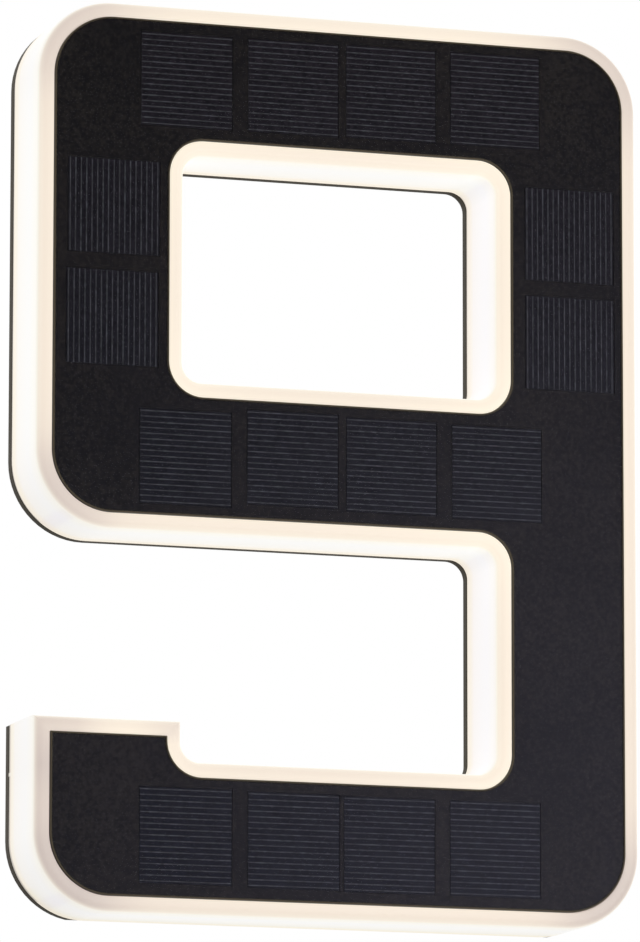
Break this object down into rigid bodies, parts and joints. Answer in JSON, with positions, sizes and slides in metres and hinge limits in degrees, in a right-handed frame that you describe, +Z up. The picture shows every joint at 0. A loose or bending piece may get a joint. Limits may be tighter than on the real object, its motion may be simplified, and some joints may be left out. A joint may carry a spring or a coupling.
{
  "type": "illuminated house number sign",
  "caption": "Wall-hung lit figure 9: black solar front on an opal glowing shell with a dark back plate, battery and keyholes.",
  "frame": {"origin": "on the wall face, midway between the centres of the two keyhole entry holes", "axes": "+Z up, +X to the reader's right, +Y into the wall, so the lit front faces -Y"},
  "size_m": [0.1736, 0.0284, 0.25],
  "materials": {
    "opal_polycarbonate": "satin opal, lit from inside, warm white",
    "anthracite_abs": "fine moulded texture",
    "foam_tape": "matt",
    "black_laminate": "fine grain",
    "silicon_cell": "dark blue with printed silver fingers",
    "clear_film": "clear with a fine pressed texture",
    "tinned_copper": "tinned",
    "black_silicone": "matt",
    "white_film": "white",
    "led_package": "yellow phosphor in a white frame",
    "green_board": "solder mask",
    "black_epoxy": "moulded",
    "ferrite": "ferrite grey",
    "capacitor_can": "drawn can",
    "white_nylon": "natural nylon",
    "zinc_steel": "zinc plated",
    "knob_plastic": "moulded",
    "battery_wrap": "plain shrink wrap",
    "nickel_steel": "nickel plated",
    "lead_insulation": "soft insulation",
    "white_board": "white solder mask"
  },
  "bodies": {
    "sign": {"diffuser_shell": "opal_polycarbonate", "back_plate": "anthracite_abs", "panel_tape": "foam_tape", "solar_board": "black_laminate", "solar_cells": "silicon_cell", "cover_film": "clear_film", "solar_terminals": "tinned_copper", "outer_gasket": "black_silicone", "window_gasket": "black_silicone", "reflector_sheet": "white_film", "leds": "led_package", "control_board": "green_board", "control_chip": "black_epoxy", "inductor": "ferrite", "capacitors": "capacitor_can", "headers": "white_nylon", "board_screws": "zinc_steel", "switch_body": "black_epoxy", "switch_gasket": "foam_tape", "battery": "battery_wrap", "battery_contact": "nickel_steel", "battery_spring": "nickel_steel", "housing_screws": "zinc_steel", "solar_leads": "lead_insulation", "battery_leads": "lead_insulation", "led_leads": "lead_insulation", "led_board_top": "white_board", "led_board_left": "white_board", "led_board_right": "white_board", "led_board_middle": "white_board", "led_board_hook": "white_board", "led_board_corner": "white_board", "led_strip_inner": "white_board", "led_strip_outer": "white_board"},
    "battery_cover": {"battery_door": "anthracite_abs", "door_gasket": "black_silicone", "door_screws": "zinc_steel"},
    "switch": {"switch_knob": "knob_plastic"}
  },
  "joints": [
    {"name": "battery_cover_off", "type": "slide", "parent": "sign", "child": "battery_cover", "axis": [0, 1, 0], "range_m": [0, 0.03]},
    {"name": "switch_slide", "type": "slide", "parent": "sign", "child": "switch", "axis": [1, 0, 0], "range_m": [0, 0.003]}
  ]
}
